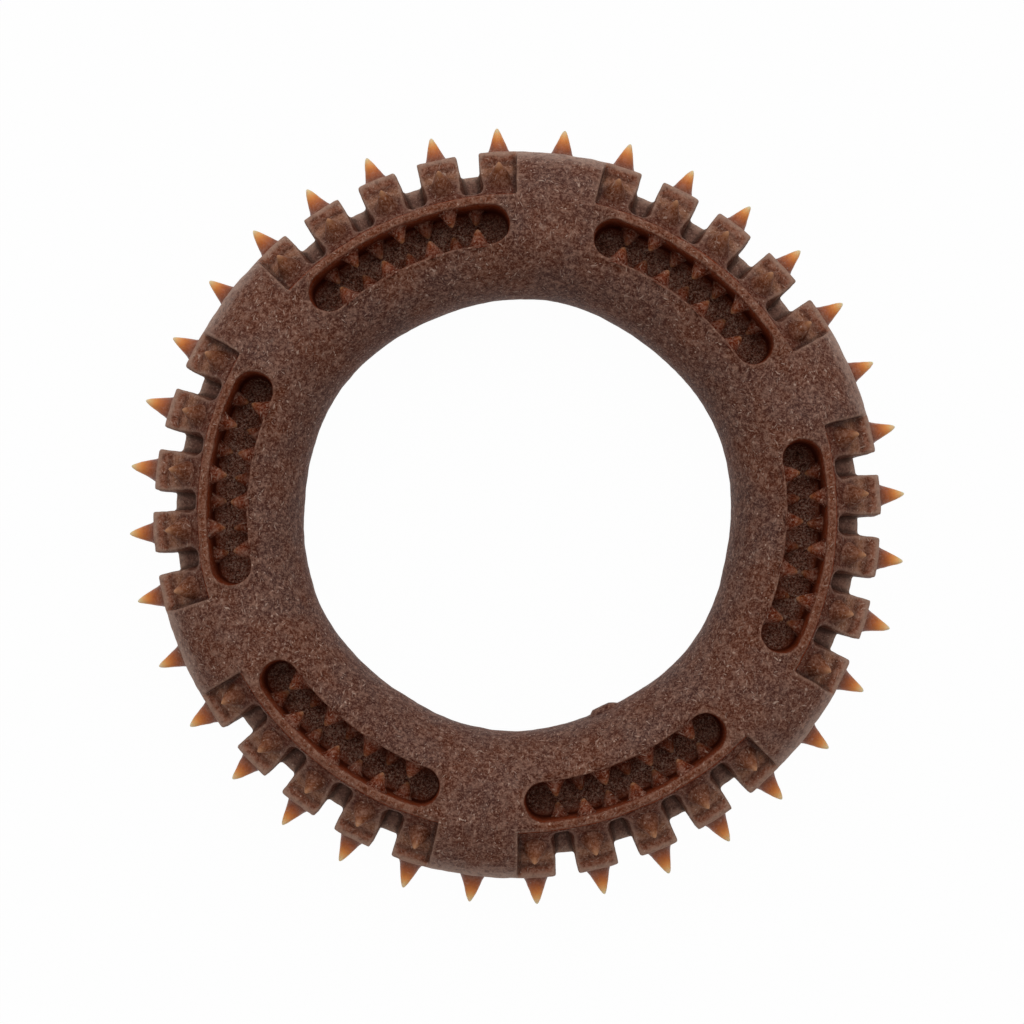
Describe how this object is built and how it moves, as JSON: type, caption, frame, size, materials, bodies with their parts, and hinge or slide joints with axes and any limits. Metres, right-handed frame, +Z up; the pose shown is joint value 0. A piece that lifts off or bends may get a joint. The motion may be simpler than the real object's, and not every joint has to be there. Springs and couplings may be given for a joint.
{
  "type": "rubber chew toy",
  "caption": "Moulded rubber chew ring for dogs, with toothed slots in both faces, banks of stepped tread blocks round the rim and short conical spikes that rub the teeth.",
  "frame": {"origin": "on the surface that the ring lies on, under the centre of the hole", "axes": "+Z up along the axis of the ring; +X through the middle of the first slot and the middle block of its bank; +Y through the middle of a bridge"},
  "size_m": [0.12, 0.12, 0.0226],
  "materials": {
    "body_rubber": "brown moulded rubber with pale and dark plant-fibre flecks, satin",
    "spike_rubber": "the same rubber where it is thin enough for light to glow through amber, satin"
  },
  "bodies": {
    "root": {"inner_ring": "body_rubber", "bridge_1": "body_rubber", "bridge_2": "body_rubber", "bridge_3": "body_rubber", "bridge_4": "body_rubber", "bridge_5": "body_rubber", "bridge_6": "body_rubber", "slot_segment_1": "body_rubber", "slot_segment_2": "body_rubber", "slot_segment_3": "body_rubber", "slot_segment_4": "body_rubber", "slot_segment_5": "body_rubber", "slot_segment_6": "body_rubber", "slot_teeth_1": "spike_rubber", "slot_teeth_2": "spike_rubber", "slot_teeth_3": "spike_rubber", "slot_teeth_4": "spike_rubber", "slot_teeth_5": "spike_rubber", "slot_teeth_6": "spike_rubber", "tread_blocks_1": "body_rubber", "tread_blocks_2": "body_rubber", "tread_blocks_3": "body_rubber", "tread_blocks_4": "body_rubber", "tread_blocks_5": "body_rubber", "tread_blocks_6": "body_rubber", "tread_webs_1": "body_rubber", "tread_webs_2": "body_rubber", "tread_webs_3": "body_rubber", "tread_webs_4": "body_rubber", "tread_webs_5": "body_rubber", "tread_webs_6": "body_rubber", "rim_spikes_1": "spike_rubber", "rim_spikes_2": "spike_rubber", "rim_spikes_3": "spike_rubber", "rim_spikes_4": "spike_rubber", "rim_spikes_5": "spike_rubber", "rim_spikes_6": "spike_rubber", "shoulder_spikes_1": "spike_rubber", "shoulder_spikes_2": "spike_rubber", "shoulder_spikes_3": "spike_rubber", "shoulder_spikes_4": "spike_rubber", "shoulder_spikes_5": "spike_rubber", "shoulder_spikes_6": "spike_rubber"}
  },
  "joints": []
}
